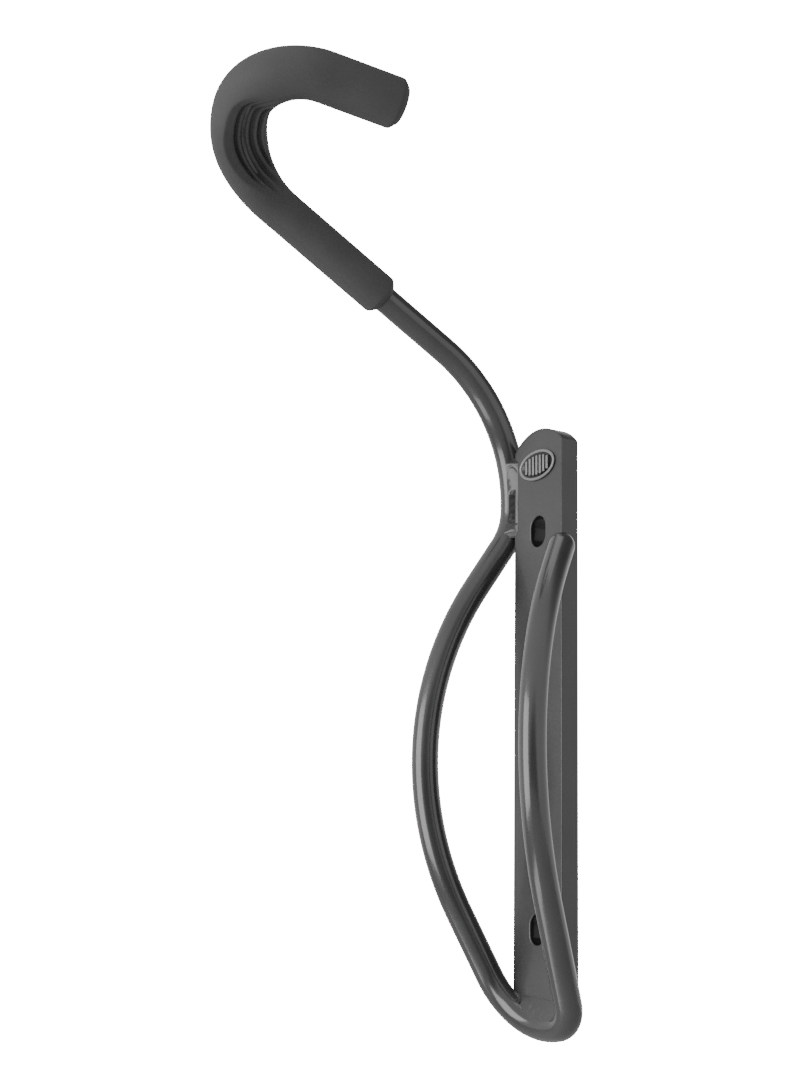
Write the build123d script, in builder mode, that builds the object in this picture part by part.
# Bicycle wall rack: one bent steel rod welded to a flat wall plate, with a rubber sleeve on its hook.
# The wall is the plane Y = 0, the rack stands out towards -Y and +Z is up.
# The origin is midway between the two screw slots, on the back of the plate. Sizes are in millimetres.

import os

from build123d import *

os.makedirs("parts", exist_ok=True)

# Flat bar that screws to the wall
PLATE_W = 30.0
PLATE_T = 8.0
EDGE_R = 0.5
SLOT_SPACING = 152.4
SLOT_W = 9.0
SLOT_H = 12.0
NOSE_TOP = 117.0
NOSE_RISE = 6.8
FOOT_LEFT = -101.5
FOOT_RIGHT = -108.5

# Round bar with its coat of powder
ROD_R = 5.15
FLANK_X = PLATE_W / 2 + ROD_R
ROD_EDGE_R = 0.6

# Corner points of the rod's path, each rounded by a bend of its own radius
HOOK_TIP = (34.06, -102.6, 219.08)
HOOK_OUTER_CORNER = (21.32, -153.59, 230.53)
HOOK_INNER_CORNER = (-25.43, -135.91, 205.09)
ARM_CORNER = (-FLANK_X, -4.6, 129.5)
FLANK_CORNER = (-FLANK_X, -4.6, 80.7)
BOW_X = 42.4
BOW_Y = -52.8
BOW_Z = -4.1
TURN_Y = -ROD_R
TURN_LEFT = (-16.4, TURN_Y, -113.4)
TURN_RIGHT = (17.6, TURN_Y, -112.8)
ROD_END = (19.4, -9.9, 71.0)
HOOK_OUTER_BEND = 23.0
HOOK_INNER_BEND = 45.5
ARM_BEND = 66.0
FLANK_BEND = 28.0
BOW_BEND = 130.0
TURN_LEFT_BEND = 29.0
TURN_RIGHT_BEND = 11.0

# Moulded sleeve over the hook
SLEEVE_START = (-22.6, -65.5, 164.56)
SLEEVE_TIP = (35.2, -98.05, 218.06)
SLEEVE_ARM_R = 8.0
SLEEVE_BEND_R = 10.7
SLEEVE_TIP_R = 9.8
SLEEVE_STATIONS = 18
END_BEVEL = 2.0

# Ribbed saddle pressed into the inside of the hook, where the rim rests
SADDLE_DEPTH = 7.0
SADDLE_R = 30.0
SADDLE_HALF_ANGLE = 48.0
SADDLE_TURN = 40.0
SADDLE_W = 40.0
RIB_COUNT = 5
RIB_PITCH = 2.7
RIB_GROOVE_R = 0.8

# Oval badge on the face of the plate
BADGE_W = 22.0
BADGE_H = 12.0
BADGE_T = 0.9
BADGE_RIM = 1.1
BADGE_Z = 102.5
STUD_COUNT = 5
STUD_PITCH = 3.4
STUD_R = 1.0


# Rod path, from the hook's tip down the left side, round the turn and up the right side
with BuildLine() as rod_path:
    FilletPolyline(
        HOOK_TIP,
        HOOK_OUTER_CORNER,
        HOOK_INNER_CORNER,
        ARM_CORNER,
        FLANK_CORNER,
        (-BOW_X, BOW_Y, BOW_Z),
        TURN_LEFT,
        TURN_RIGHT,
        (BOW_X, BOW_Y, BOW_Z),
        ROD_END,
        radius=(
            HOOK_OUTER_BEND,
            HOOK_INNER_BEND,
            ARM_BEND,
            FLANK_BEND,
            BOW_BEND,
            TURN_LEFT_BEND,
            TURN_RIGHT_BEND,
            BOW_BEND,
        ),
    )

with BuildPart() as rod:
    with BuildSketch(Plane(rod_path.line @ 0, z_dir=rod_path.line % 0)):
        Circle(ROD_R)
    sweep(path=rod_path.line)
    fillet(rod.faces().filter_by(GeomType.PLANE).edges(), ROD_EDGE_R)
rod.part.label = "bent_rod"

# Wall plate: arched nose at the top, foot cut on the slant of the rod's turn
with BuildPart() as plate:
    with BuildSketch(Plane.XZ):
        with BuildLine():
            Line((-PLATE_W / 2, FOOT_LEFT), (PLATE_W / 2, FOOT_RIGHT))
            Line((PLATE_W / 2, FOOT_RIGHT), (PLATE_W / 2, NOSE_TOP - NOSE_RISE))
            ThreePointArc(
                (PLATE_W / 2, NOSE_TOP - NOSE_RISE),
                (0, NOSE_TOP),
                (-PLATE_W / 2, NOSE_TOP - NOSE_RISE),
            )
            Line((-PLATE_W / 2, NOSE_TOP - NOSE_RISE), (-PLATE_W / 2, FOOT_LEFT))
        make_face()
    extrude(amount=PLATE_T)
    fillet(plate.faces().filter_by(Axis.Y).edges(), EDGE_R)
    with BuildSketch(Plane.XZ):
        with Locations((0, SLOT_SPACING / 2), (0, -SLOT_SPACING / 2)):
            SlotOverall(SLOT_H, SLOT_W, rotation=90)
    extrude(amount=PLATE_T, mode=Mode.SUBTRACT)
    add(rod.part, mode=Mode.SUBTRACT)
plate.part.label = "wall_plate"

# Sleeve path along the hook, a little past the rod's tip
with BuildLine() as sleeve_path:
    FilletPolyline(
        SLEEVE_START,
        HOOK_INNER_CORNER,
        HOOK_OUTER_CORNER,
        SLEEVE_TIP,
        radius=(HOOK_INNER_BEND, HOOK_OUTER_BEND),
    )

# The saddle is cut by a drum that lies across the inside of the first bend of the hook, turned
# round the bar so that its hollow looks to the right and slightly down, the way the rim comes in
inner_arc = sleeve_path.line.edges().filter_by(GeomType.CIRCLE).sort_by(Edge.length)[-1]
ahead = inner_arc % 0.5
turn_axis = Axis((0, 0, 0), ahead)
radial = (inner_arc @ 0.5 - inner_arc.arc_center).normalized()
outwards = radial.rotate(turn_axis, -SADDLE_TURN)
drum_axis = ahead.cross(outwards).normalized()
drum_centre = inner_arc @ 0.5 - outwards * (SADDLE_DEPTH + SADDLE_R)
drum_plane = Plane(
    drum_centre,
    x_dir=outwards.rotate(Axis((0, 0, 0), drum_axis), -SADDLE_HALF_ANGLE),
    z_dir=drum_axis,
)


def ease(t, start, end):
    """Rise smoothly from 0 to 1 as t goes from start to end."""
    u = min(max((t - start) / (end - start), 0.0), 1.0)
    return u * u * (3.0 - 2.0 * u)


def sleeve_radius(t):
    """Slim on the arm, full round the bend, a little slimmer again on the tip."""
    swell = (SLEEVE_BEND_R - SLEEVE_ARM_R) * ease(t, 0.29, 0.53)
    return SLEEVE_ARM_R + swell - (SLEEVE_BEND_R - SLEEVE_TIP_R) * ease(t, 0.64, 0.80)


# Rubber sleeve: thicker at the bend, with a flattened, ribbed saddle on the inside
with BuildPart() as sleeve:
    for station in range(SLEEVE_STATIONS):
        t = station / (SLEEVE_STATIONS - 1)
        with BuildSketch(Plane(sleeve_path.line @ t, x_dir=drum_axis, z_dir=sleeve_path.line % t)):
            Circle(sleeve_radius(t))
    sweep(path=sleeve_path.line, multisection=True)
    chamfer(sleeve.faces().filter_by(GeomType.PLANE).edges(), END_BEVEL)
    with Locations(drum_plane):
        Cylinder(SADDLE_R, SADDLE_W, arc_size=2 * SADDLE_HALF_ANGLE, mode=Mode.SUBTRACT)
        with Locations(
            *[(0, 0, (i - (RIB_COUNT - 1) / 2) * RIB_PITCH) for i in range(RIB_COUNT)]
        ):
            Torus(SADDLE_R, RIB_GROOVE_R, major_angle=2 * SADDLE_HALF_ANGLE, mode=Mode.SUBTRACT)
    add(rod.part, mode=Mode.SUBTRACT)
sleeve.part.label = "rubber_sleeve"


def weld_bead(label, start, end, radius, count):
    """A run of weld: overlapping round beads laid in the groove between rod and plate."""
    with BuildPart() as bead:
        for i in range(count):
            t = i / (count - 1)
            with Locations(Vector(*start) + (Vector(*end) - Vector(*start)) * t):
                Sphere(radius * (1.0 + 0.12 * (i % 2)))
        add(rod.part, mode=Mode.SUBTRACT)
        add(plate.part, mode=Mode.SUBTRACT)
    bead.part.label = label
    return bead.part


welds = [
    weld_bead("weld_upper_left", (-15.5, -8.3, 76.5), (-15.4, -8.7, 101.3), 3.05, 9),
    weld_bead("weld_upper_right", (15.3, -8.8, 60.0), (15.5, -8.2, 71.5), 2.6, 5),
    weld_bead("weld_lower_left", (-16.2, -8.8, -98.0), (-13.5, -8.4, -104.0), 3.0, 4),
    weld_bead("weld_lower_right", (17.0, -9.0, -97.0), (15.0, -8.4, -104.5), 3.0, 4),
    weld_bead("weld_foot", (-8.0, -8.0, -104.2), (10.0, -7.8, -107.4), 2.2, 7),
]

# Oval badge: a raised rim round a plain field with a row of small studs
with BuildPart() as badge:
    with BuildSketch(Plane.XZ.offset(PLATE_T)):
        with Locations((0, BADGE_Z)):
            Ellipse(BADGE_W / 2, BADGE_H / 2)
    extrude(amount=BADGE_T)
    with BuildSketch(Plane.XZ.offset(PLATE_T + BADGE_T)):
        with Locations((0, BADGE_Z)):
            Ellipse(BADGE_W / 2 - BADGE_RIM, BADGE_H / 2 - BADGE_RIM)
    extrude(amount=-BADGE_T / 2, mode=Mode.SUBTRACT)
    with BuildSketch(Plane.XZ.offset(PLATE_T + BADGE_T / 2)):
        with Locations(*[((i - (STUD_COUNT - 1) / 2) * STUD_PITCH, BADGE_Z) for i in range(STUD_COUNT)]):
            Circle(STUD_R)
    extrude(amount=BADGE_T / 2)
badge.part.label = "oval_badge"

export_step(rod.part, "parts/bent_rod.step")
export_step(plate.part, "parts/wall_plate.step")
export_step(sleeve.part, "parts/rubber_sleeve.step")
export_step(badge.part, "parts/oval_badge.step")
for weld in welds:
    export_step(weld, f"parts/{weld.label}.step")
